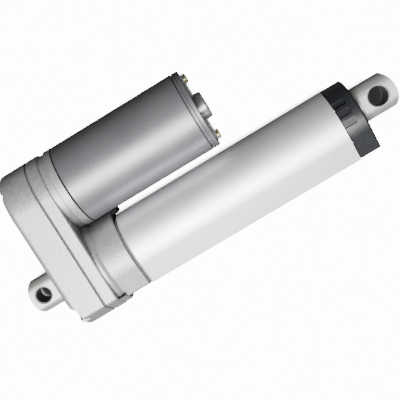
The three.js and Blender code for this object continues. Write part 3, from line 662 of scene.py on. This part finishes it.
# ---------------------------------------------------------------- gearbox
def rear_housing():
    """A shell, soft at the rear, with screw bosses and pockets and two notched lower corners."""
    x1 = BOX_PART - SPLIT
    root = BOX_X0 + 1.6
    front = soft_end(x1, 1, 0.3, case_outline, 3)
    body = loft(soft_end(BOX_X0, -1, 2.4, case_outline, 9)[::-1] + front)
    cut(body, prism_x(case_outline(BOX_WALL), BOX_X0 + 2.5, BOX_PART + 1))
    # solid corners behind the two notches
    for z0, z1 in ((12.0, 16.2), (-16.2, -12.0)):
        corner = block(root, 13.6, -18, -8.5, z0, z1)
        join(body, common(corner, prism_x(case_outline(1.0), BOX_X0 + 1.5, x1 - 0.2)))
    for y, z in CASE_SCREWS:
        boss = common(cyl_x(SCREW_BOSS_R, root, x1 - 0.05, y, z, 40),
                      prism_x(case_outline(1.0), BOX_X0 + 1.5, x1))
        join(body, boss)
    # seats of the rear eye, the idler pin and the motor shaft, and their holes
    join(body, cut(cyl_x(11.0, BOX_X0 + 2, 13.2), cyl_x(9.4, BOX_X0 + 1, 14)))
    join(body, cyl_x(IDLER_BOSS_R, BOX_X0 + 2, 13.4, IDLER_Y), cyl_x(4.2, BOX_X0 + 2, 15.6, MOTOR_Y))
    cut(body, cyl_x(2.3, 12.4, 16, MOTOR_Y), cyl_x(IDLER_PIN_R, 10.4, 14, IDLER_Y),
        cyl_x(REAR_R + 0.25, 5, 12, 0, 0, 96))
    for y, z in CASE_SCREWS:
        cut(body, cyl_x(1.45, 5, 24, y, z, 32), cyl_x(2.7, 5, 12.6, y, z, 48))
    # (x, y) of the stepped notch, taken out of both lower corners
    notch = rounded([(4, -5), (8.8, -5), (9.4, -9), (11.2, -9.9), (12.0, -15.4), (13.4, -16.4),
                     (13.7, -26), (4, -26)], [0, 0, 1.2, 0.9, 0.9, 0.9, 0, 0], 5, True)
    for z0, z1 in ((12.6, 30), (-30, -12.6)):
        cut(body, prism_z(notch, z0, z1))
    cut(body, cyl_x(GROMMET_HOLE_R, 5, 12, GROMMET_Y, GROMMET_Z, 48))
    finish_piece(body, "fine_rear_housing", "rear_housing", bevel=0.28)


def front_housing():
    """The gearbox's front half, with the motor seat, the collar of the tube and the bearing's bore."""
    body = loft(soft_end(BOX_PART + SPLIT, -1, 0.3, case_outline, 3)[::-1]
                + soft_end(BOX_X1, 1, 0.7, case_outline, 5))
    # the collar, flaring into the gearbox in a cove
    sections = [(BOX_X1 - 1.2, cove_outline(COLLAR_COVE))]
    for i in range(COVE_STEPS + 1):
        rise = math.sin(math.pi / 2 * i / COVE_STEPS)
        sections.append((BOX_X1 + COLLAR_COVE * 1.5 * rise, cove_outline(COLLAR_COVE * (1 - rise))))
    sections += soft_end(COLLAR_X1, 1, 0.4, collar_inset, 4)
    envelope = prism_x(case_outline(0.75), BOX_X1 - 2, COLLAR_X1 + 1)
    join(body, common(loft(sections), envelope))
    foot = loft([(BOX_X1 - 1, case_outline(0.3))]
                + soft_end(FOOT_X1, 1, 0.6, lambda inset: case_outline(0.3 + inset), 5))
    join(body, common(foot, block(20, 40, -30, -15.6, -30, 30)))
    seat = rounded([(BOX_X1 - 1.2, 0), (BOX_X1 - 1.2, 16.5), (SEAT_STEP, 16.5), (SEAT_STEP, 17.1),
                    (SEAT_X1, 17.1), (SEAT_X1, 0)], [0, 0, 0.25, 0.25, 0.3, 0], 4)
    join(body, lathe(seat, MOTOR_Y, 0, 128))
    # the web between collar and motor seat
    join(body, block(BOX_X1 - 0.2, COLLAR_X1, 8, 17, -5.0, -0.6))
    cut(body, cyl_x(CAN_R + 0.35, SEAT_X1, 60, MOTOR_Y, 0, 160))
    cut(body, prism_x(case_outline(BOX_WALL), BOX_PART - 1, BOX_X1 - 2.2))
    cut(body, cyl_x(15.4, 29.4, 34, MOTOR_Y, 0, 96))
    for s in (1, -1):
        join(body, cyl_x(2.7, 29.0, 34.0, MOTOR_Y + s * BOLT_OFF, 0, 40))
    for y, z in CASE_SCREWS:
        boss = common(cyl_x(SCREW_BOSS_R, BOX_PART + SPLIT + 0.05, BOX_X1 - 0.9, y, z, 40),
                      prism_x(case_outline(1.0), BOX_PART + SPLIT, BOX_X1 - 0.8))
        join(body, boss)
    join(body, cyl_x(IDLER_BOSS_R, 24.2, BOX_X1 - 0.9, IDLER_Y, 0, 40))
    for y, z in CASE_SCREWS:
        cut(body, cyl_x(1.25, BOX_PART - 1, 26.4, y, z, 32))
    cut(body, cyl_x(IDLER_PIN_R, 23, 26.4, IDLER_Y, 0, 32))
    for s in (1, -1):
        cut(body, cyl_x(1.5, 27.6, 36, MOTOR_Y + s * BOLT_OFF, 0, 32))
    # the motor's opening, then the bearing's bore, step by step, into the tube's
    cut(body, cyl_x(6.0, 20, 32, MOTOR_Y), cyl_x(7.9, 20, 30), cyl_x(9.7, 28.2, 36.9), cyl_x(8.6, 33, 42),
        channel(36.9, 42), cyl_x(BORE_R, 36.9, 42, 0, 0, 96))
    finish_piece(body, "fine_front_housing", "front_housing", bevel=0.2)


def case_screws():
    """Socket screws, sunk in the rear casting."""
    for i, (y, z) in enumerate(CASE_SCREWS):
        profile = rounded([(10.2, 0), (10.2, 2.3), (12.3, 2.3), (12.3, 1.1), (25.9, 1.1), (25.9, 0)],
                          [0, 0.4, 0.1, 0.1, 0.2, 0], 4)
        body = cut(lathe(profile, y, z, 48), prism_x(hexagon(y, z, 1.9), 9, 11.3))
        finish_piece(body, f"fine_case_screw_{i + 1}", f"case_screw_{i + 1}", bevel=0.06, segments=2)


# ---------------------------------------------------------------- eyes and rod
def eye_plan(hole, far, toward, arc=11.5, steps=40):
    """The eye from above: a shallow arc at the far end, which is at x = far."""
    centre = far - toward * arc
    pts = []
    for i in range(steps + 1):
        a = -0.85 + 1.7 * i / steps
        pts.append((centre + toward * arc * math.cos(a), arc * math.sin(a)))
    back = hole - toward * 40
    return pts + [(back, pts[-1][1]), (back, pts[0][1])]


def mill_flats(body, radius, flat, x0, x1):
    """Takes two flats off a round bar, running softly into the round, from x0 to x1."""
    section = []
    for i in range(FLAT_STEPS):
        a = 2 * math.pi * i / FLAT_STEPS
        r = (radius ** -FLAT_BLEND + (abs(math.sin(a)) / flat) ** FLAT_BLEND) ** (-1 / FLAT_BLEND)
        section.append((r * math.cos(a), r * math.sin(a)))
    waste = cut(block(x0, x1, -20, 20, -20, 20), prism_x(section, x0 - 1, x1 + 1))
    return cut(body, waste)


def pin_hole(body, radius, flat, x):
    """A cross hole with a countersunk rim on both flats."""
    cut(body, cyl_z(radius, -20, 20, x, 0, 80))
    for s in (1, -1):
        rim = lathe([(flat - RIM_DEPTH, 0), (flat - RIM_DEPTH, radius - 0.1),
                     (flat + 1, radius + RIM_DEPTH + 0.9), (flat + 1, 0)], 0, 0, 80)
        rim.data.transform(Matrix.Translation((x, 0, 0)) @ Matrix.Rotation(-s * math.pi / 2, 4, "Y"))
        cut(body, rim)
    return body


def paint_bore_shade(eye, radius, x):
    """The wall of a pin hole is painted dark, for the shade inside the hole."""
    refinish(eye, BORE_SHADE, lambda f: abs(f.normal.z) < 0.5
             and math.hypot(f.center.x - x * MM, f.center.y) < (radius + 0.3) * MM)


def cross_pin_hole():
    """Where the pin that holds the front eye in the rod goes through both."""
    return cyl_z(CROSS_PIN_R, -10, 10, CROSS_PIN_X, 0, 32)


def rear_eye():
    """A round bar with two flats and a flange inside the gearbox."""
    profile = rounded([(-7, 0), (-7, REAR_R), (11.5, REAR_R), (11.5, 9.1), (12.9, 9.1), (12.9, 0)],
                      [0, 0, 0.2, 0.3, 0.3, 0], 4)
    body = common(lathe(profile, 0, 0, 96), prism_z(eye_plan(0, REAR_TIP, -1), -20, 20))
    mill_flats(body, REAR_R + 0.05, REAR_FLAT, -12, 8.2)
    cut(pin_hole(body, REAR_HOLE_R, REAR_FLAT, 0), cyl_x(3.25, 9.0, 14, 0, 0, 48))
    eye = finish_piece(body, "fine_rear_eye", "rear_clevis", bevel=0.35, segments=4)
    paint_bore_shade(eye, REAR_HOLE_R, 0)


def front_eye():
    """The rod's end, with a spigot that the cross pin holds in the rod."""
    profile = rounded([(134.2, 0), (134.2, 5.1), (142.0, 5.1), (142.0, ROD_R), (FRONT_TIP + 1, ROD_R),
                       (FRONT_TIP + 1, 0)], [0, 0.5, 0, 0.25, 0, 0], 4)
    body = common(lathe(profile, 0, 0, 96), prism_z(eye_plan(HOLE_TO_HOLE, FRONT_TIP, 1), -20, 20))
    mill_flats(body, ROD_R + 0.05, FRONT_FLAT, 147.6, FRONT_TIP + 4)
    cut(pin_hole(body, FRONT_HOLE_R, FRONT_FLAT, HOLE_TO_HOLE), cross_pin_hole())
    eye = finish_piece(body, "fine_rod_end", "front_clevis", bevel=0.5, segments=5)
    paint_bore_shade(eye, FRONT_HOLE_R, HOLE_TO_HOLE)


def push_rod():
    profile = rounded([(ROD_X0, ROD_BORE_R), (ROD_X0, ROD_R), (ROD_X1, ROD_R), (ROD_X1, ROD_BORE_R)],
                      0.25, 4, True)
    body = cut(lathe(profile, 0, 0, 96, True), cross_pin_hole())
    finish_piece(body, "fine_push_rod", "push_rod")


# ---------------------------------------------------------------- tube and cap
def outer_tube():
    """Drawn tube, rounded over at the rear, with a bore, a switch channel and screw holes."""
    rear = [(TUBE_X0, tube_outline(-0.9))]
    steps = 6
    for i in range(steps + 1):
        a = math.pi / 2 * i / steps
        rear.append((TUBE_X0 + 0.12 + 1.0 * (1 - math.cos(a)), tube_outline(-0.8 * (1 - math.sin(a)))))
    body = loft(rear + soft_end(TUBE_X1, 1, 0.2, tube_inset, 3))
    cut(body, cyl_x(BORE_R, TUBE_X0 - 1, TUBE_X1 + 1, 0, 0, 96), channel(TUBE_X0 - 1, TUBE_X1 + 1))
    for y, z in CAP_SCREWS:
        cut(body, cyl_x(1.3, 120, TUBE_X1 + 1, y, z, 32))
    finish_piece(body, "fine_outer_tube", "outer_tube")


def tube_gasket():
    """A thin ring with a lug between the tube and the can."""
    x0, x1 = COLLAR_X1 + 0.2, TUBE_X0 - 0.2
    body = prism_x(tube_outline(-0.2), x0, x1)
    cut(body, cyl_x(BORE_R + 0.2, COLLAR_X1, TUBE_X0, 0, 0, 96), channel(COLLAR_X1, TUBE_X0))
    plan = rounded([(LUG_Y0, LUG_LOW), (LUG_Y1, LUG_LOW), (LUG_Y1, LUG_HIGH), (LUG_Y0, LUG_HIGH)],
                   [0, 1, 1.4, 1.2], 5, True)
    lug = prism_x(plan, x0, LUG_X1)
    cut(lug, cyl_x(CAN_R + 0.4, COLLAR_X1, LUG_X1 + 1, MOTOR_Y, 0, 160))
    join(body, lug, block(x0, x1, 11.6, 13.2, LUG_LOW + 1, LUG_HIGH - 1))
    piece = finish_piece(body, "fine_tube_gasket", "tube_gasket", bevel=0.08)
    # the ring below the lug is a paler grey than the lug
    refinish(piece, PALER_RUBBER, lambda f: f.center.y < RING_TOP * MM)


def front_cap():
    """Black cap with a spigot in the tube, seats for bush and wiper, and four sunk screws."""
    front = soft_end(CAP_X1, 1, 0.9, tube_inset, 6)
    body = loft(soft_end(CAP_X0, -1, 0.15, tube_inset, 2)[::-1] + front)
    common(body, block(CAP_X0 - 1, CAP_X1 + 1, TUBE_BOTTOM + CAP_RAISE, 40, -30, 30))
    join(body, cyl_x(BORE_R - 0.3, 134.0, CAP_X0 + 0.6, 0, 0, 96))
    # shallow pockets over the round, the same on both sides
    shape = rounded([(-0.8, -1.45), (5.2, -1.45), (5.2, 1.45), (-0.8, 1.45)], [0, 0.9, 0.9, 0], 6, True)
    for mirrored in (False, True):
        for degrees in (35, 19, 3):
            pocket = prism_z(shape, TUBE_R - 0.9, TUBE_R + 3)
            turn = Matrix.Rotation(-math.radians(degrees), 4, "X")
            pocket.data.transform(Matrix.Translation((CAP_X0, TUBE_CY, 0)) @ turn)
            if mirrored:
                pocket.data.transform(Matrix.Scale(-1, 4, (0, 0, 1)))
                pocket.data.flip_normals()
            cut(body, pocket)
    cut(body, cyl_x(8.9, 132, 142.4, 0, 0, 80), cyl_x(ROD_R + 0.45, 140, 150, 0, 0, 80),
        cyl_x(9.1, 142.8, 150, 0, 0, 80))
    for y, z in CAP_SCREWS:
        cut(body, cyl_x(1.35, 130, 150, y, z, 32), cyl_x(2.1, 143.6, 150, y, z, 40))
    finish_piece(body, "fine_front_cap", "front_cap", bevel=0.22)


def cap_fittings():
    """The wiper and the four cap screws."""
    lip = rounded([(143.0, 8.0), (143.0, 8.9), (145.4, 8.9), (145.6, 8.5), (145.6, 7.65), (144.8, 7.62),
                   (144.2, 8.0)], 0.12, 4, True)
    finish_piece(lathe(lip, 0, 0, 96, True), "fine_wiper", "wiper_seal")
    for i, (y, z) in enumerate(CAP_SCREWS):
        profile = rounded([(126, 0), (126, 1.1), (143.8, 1.1), (143.8, 1.85), (145.5, 1.85), (145.5, 0)],
                          [0, 0.2, 0.1, 0.1, 0.35, 0], 4)
        body = cut(lathe(profile, y, z, 40), prism_x(hexagon(y, z, 1.5), 144.6, 148))
        finish_piece(body, f"fine_cap_screw_{i + 1}", f"cap_screw_{i + 1}", bevel=0.05, segments=2)


# ---------------------------------------------------------------- motor
def motor_can():
    inner = CAN_R - CAN_WALL
    can = rounded([(CAN_X0, inner), (CAN_X0, CAN_R), (CAN_X1, CAN_R), (CAN_X1, inner)],
                  [0.2, 0.35, 0.4, 0.2], 5, True)
    finish_piece(lathe(can, MOTOR_Y, 0, 160, True), "fine_motor_can", "motor_can")


def motor_end_cap():
    """A plug in the can, a grooved rim, a dished face with a bar across it, and the bright boss."""
    profile = rounded([(87.8, 0), (87.8, 15.4), (89.9, 15.4), (89.9, CAP_RIM_R), (90.85, CAP_RIM_R),
                       (91.05, 16.6), (91.25, CAP_RIM_R), (92.8, CAP_RIM_R), (92.8, 15.2), (92.1, 14.9),
                       (92.1, 5.8), (96.3, 5.6), (96.3, 0)],
                      [0, 0.2, 0.1, 0.15, 0.1, 0.12, 0.1, 0.5, 0.2, 0.2, 0.3, 0.9, 0], 6)
    cap = lathe(profile, MOTOR_Y, 0, 128)
    bar = common(block(91.5, 93.4, MOTOR_Y - 20, MOTOR_Y + 20, -2.6, 2.6),
                 cyl_x(14.8, 90, 95, MOTOR_Y, 0, 96))
    join(cap, bar)
    cut(cap, cyl_x(4.0, 86, 91.8, MOTOR_Y), cyl_x(2.3, 86, 95.2, MOTOR_Y))
    for s in (1, -1):
        cut(cap, cyl_x(1.6, 80, 100, MOTOR_Y + s * BOLT_OFF, 0, 40))
    cap = finish_piece(cap, "fine_motor_end_cap", "motor_end_cap", RIM, bevel=0.12)
    refinish(cap, BRIGHT, lambda f: f.center.x > BOSS_X0 * MM
             and math.hypot(f.center.y - MOTOR_Y * MM, f.center.z) < BOSS_FACES_R * MM)


def through_bolts():
    """Two slotted bolts and their washers."""
    for i, s in enumerate((1, -1)):
        y = MOTOR_Y + s * BOLT_OFF
        profile = rounded([(29.2, 0), (29.2, 1.3), (93.9, 1.3), (93.9, 2.1), (94.9, 1.95), (94.9, 0)],
                          [0, 0.2, 0.05, 0.12, 0.55, 0], 5)
        bolt = cut(lathe(profile, y, 0, 48), block(94.4, 97, y - 3, y + 3, -0.3, 0.3))
        finish_piece(bolt, f"fine_bolt_{i + 1}", f"through_bolt_{i + 1}", bevel=0.05, segments=2)
        washer = rounded([(93.5, 1.5), (93.5, 2.45), (93.8, 2.45), (93.8, 1.5)], 0.08, 3, True)
        finish_piece(lathe(washer, y, 0, 48, True), f"fine_washer_{i + 1}", f"bolt_washer_{i + 1}")


def grommet():
    """The cord's way out, with no cord in it."""
    mouth = rounded([(GROMMET_X0, 0), (GROMMET_X0, GROMMET_R), (GROMMET_X1, GROMMET_R), (GROMMET_X1, 0)],
                    [0, 0.35, 0.1, 0], 4)
    finish_piece(lathe(mouth, GROMMET_Y, GROMMET_Z, 48), "fine_grommet", "cable_grommet")


rear_housing()
front_housing()
case_screws()
rear_eye()
front_eye()
push_rod()
outer_tube()
tube_gasket()
front_cap()
cap_fittings()
motor_can()
motor_end_cap()
through_bolts()
grommet()

# ---------------------------------------------------------------- CAD nodes that stay
slots = {s["node"]: s["material_slot"] for s in record["subparts"]}
for node, ob in frame["nodes"].items():
    if ob.hide_render:
        continue
    ob.data.materials.clear()
    ob.data.materials.append(MATERIALS[slots[node]])
    smooth(ob.data)


# ---------------------------------------------------------------- floor and light
FLOOR_X, FLOOR_GAP, FLOOR_GLOW = 0.08, 0.0001, 14.0
FLOOR_R, SWEEP_R, SWEEP_STEPS, FLOOR_TURNS = 4.0, 3.0, 12, 96
SHADE_CORE, SHADE_EDGE, SHADE_POWER, SHADE_GLOW = 3.4, 8.0, 4.0, 0.035
# body, x0, x1, y0, y1: the middle of each patch of painted shadow in millimetres, before its soft edge
SHADES = [
    ("case", -1.5, 16.0, -1.1, -1.1),
    ("case", 16.0, 26.0, -12.0, 41.0),
    ("case", 26.0, 138.0, -10.0, 4.5),
    ("case", 26.0, 86.0, 22.5, 41.0),
    ("rod", 80.0, 156.2, -1.1, -1.1),
]
KEY_PLACE, KEY_AIM, KEY_SIZE, KEY_POWER = (0.0, -0.145, 0.54), (0.078, 0.005, 0.0), (0.30, 0.22), 10.5
# axis of the direction, where each share of the sky's strength starts and ends, and its value at both
SKY_SHARES = [("Y", -0.2, 0.8, 0.03, 0.02), ("X", 0.5, 1.0, 0.0, 0.09), ("Z", -0.7, -0.1, 0.13, 0.0)]


def painted_contact_shadow(g):
    """Painted shadow on the floor: one on the open floor, fading to zero close under the object, where
    the light hardly reaches.
    """
    rests = {}
    for body in ("case", "rod"):
        spot = bpy.data.objects.new(f"shade_{body}", None)
        bpy.context.collection.objects.link(spot)
        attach(spot, body)
        rests[body] = g.node("ShaderNodeTexCoord", object=spot).outputs["Object"]

    def vector(operation, a, b=None):
        n = g.node("ShaderNodeVectorMath", operation=operation)
        g.link(a, n.inputs[0])
        if b is not None:
            n.inputs[1].default_value = b
        return n.outputs["Value" if operation == "LENGTH" else "Vector"]

    share = None
    for body, x0, x1, y0, y1 in SHADES:
        middle = ((x0 + x1) / 2 * MM, (y0 + y1) / 2 * MM, 0)
        half = ((x1 - x0) / 2 * MM, (y1 - y0) / 2 * MM, 1)
        out = vector("SUBTRACT", vector("ABSOLUTE", vector("SUBTRACT", rests[body], middle)), half)
        distance = vector("LENGTH", vector("MAXIMUM", out, (0, 0, 0)))
        far = g.span(distance, 0.0, 1.0, SHADE_CORE * MM, SHADE_EDGE * MM)
        if share is None:
            share = far
            continue
        least = g.node("ShaderNodeMath", operation="MINIMUM")
        g.link(share, least.inputs[0])
        g.link(far, least.inputs[1])
        share = least.outputs["Value"]
    power = g.node("ShaderNodeMath", operation="POWER")
    g.link(share, power.inputs[0])
    power.inputs[1].default_value = SHADE_POWER
    return power.outputs["Value"]


def add_floor():
    """A pale glowing sweep, which the object neither mirrors nor is lit by, with painted shadow under the
    object.
    """
    g = Graph("pale_floor")
    cloud = g.noise(6, 3.0, 0.5)
    fine = g.noise(900, 2.0, 0.5)
    mix = g.blend(cloud, fine, 0.3)
    colour = g.ramp(mix, [(0.3, (0.90, 0.90, 0.90)), (0.7, (0.93, 0.93, 0.93))])
    g.done(colour, g.span(mix, 0.82, 0.9), g.bump(fine, 0.004))
    g.shader.inputs["Emission Color"].default_value = (1, 1, 1, 1)
    open_floor = painted_contact_shadow(g)
    # painted shadow: the floor's colour and glow go dark under the object, also where the pin holes look
    # through
    dark = g.node("ShaderNodeMix", data_type="RGBA")
    dark.inputs["A"].default_value = (0.02, 0.021, 0.02, 1)
    g.link(open_floor, dark.inputs["Factor"])
    g.link(colour, dark.inputs["B"])
    g.link(dark.outputs["Result"], g.shader.inputs["Base Color"])
    g.link(g.span(open_floor, SHADE_GLOW, FLOOR_GLOW, 0.0, 1.0), g.shader.inputs["Emission Strength"])
    profile = [(FLOOR_R, 0)]
    for i in range(1, SWEEP_STEPS + 1):
        a = math.pi / 2 * i / SWEEP_STEPS
        profile.append((FLOOR_R + SWEEP_R * math.sin(a), SWEEP_R * (1 - math.cos(a))))
    profile.append((FLOOR_R + SWEEP_R, 2 * SWEEP_R))
    bm = bmesh.new()
    rings = []
    turns = [2 * math.pi * i / FLOOR_TURNS for i in range(FLOOR_TURNS)]
    for r, z in profile:
        rings.append([bm.verts.new((r * math.cos(t), r * math.sin(t), z)) for t in turns])
    bm.faces.new(rings[0])
    for low, high in zip(rings, rings[1:]):
        for i in range(FLOOR_TURNS):
            bm.faces.new((low[i - 1], low[i], high[i], high[i - 1]))
    me = bpy.data.meshes.new("floor")
    bm.to_mesh(me)
    bm.free()
    me.shade_smooth()
    ob = bpy.data.objects.new("floor", me)
    ob.location = (FLOOR_X, 0.0, cad_box[0][2] - FLOOR_GAP)
    me.materials.append(g.material)
    bpy.context.collection.objects.link(ob)
    ob.visible_glossy = False
    ob.visible_diffuse = False
    ob.visible_shadow = False


def add_softbox(name, place, aim, size, power):
    """An area light at place, turned toward aim."""
    data = bpy.data.lights.new(name, "AREA")
    data.shape = "RECTANGLE"
    data.size, data.size_y = size
    data.energy = power
    ob = bpy.data.objects.new(name, data)
    ob.location = place
    ob.rotation_euler = (Vector(aim) - Vector(place)).to_track_quat("-Z", "Y").to_euler()
    bpy.context.collection.objects.link(ob)


def add_sky():
    """A weak light all round, stronger from the rod end, and from below as off a pale table."""
    world = bpy.data.worlds.new("studio")
    bpy.context.scene.world = world
    world.use_nodes = True
    tree = world.node_tree
    background = tree.nodes["Background"]
    background.inputs["Color"].default_value = (1, 1, 1, 1)
    way = tree.nodes.new("ShaderNodeTexCoord")
    parts = tree.nodes.new("ShaderNodeSeparateXYZ")
    tree.links.new(way.outputs["Generated"], parts.inputs[0])
    total = None
    for axis, *numbers in SKY_SHARES:
        share = map_range(tree, parts.outputs[axis], *numbers)
        if total is None:
            total = share
            continue
        plus = tree.nodes.new("ShaderNodeMath")
        tree.links.new(total, plus.inputs[0])
        tree.links.new(share, plus.inputs[1])
        total = plus.outputs["Value"]
    tree.links.new(total, background.inputs["Strength"])


add_floor()
add_softbox("key", KEY_PLACE, KEY_AIM, KEY_SIZE, KEY_POWER)
add_sky()
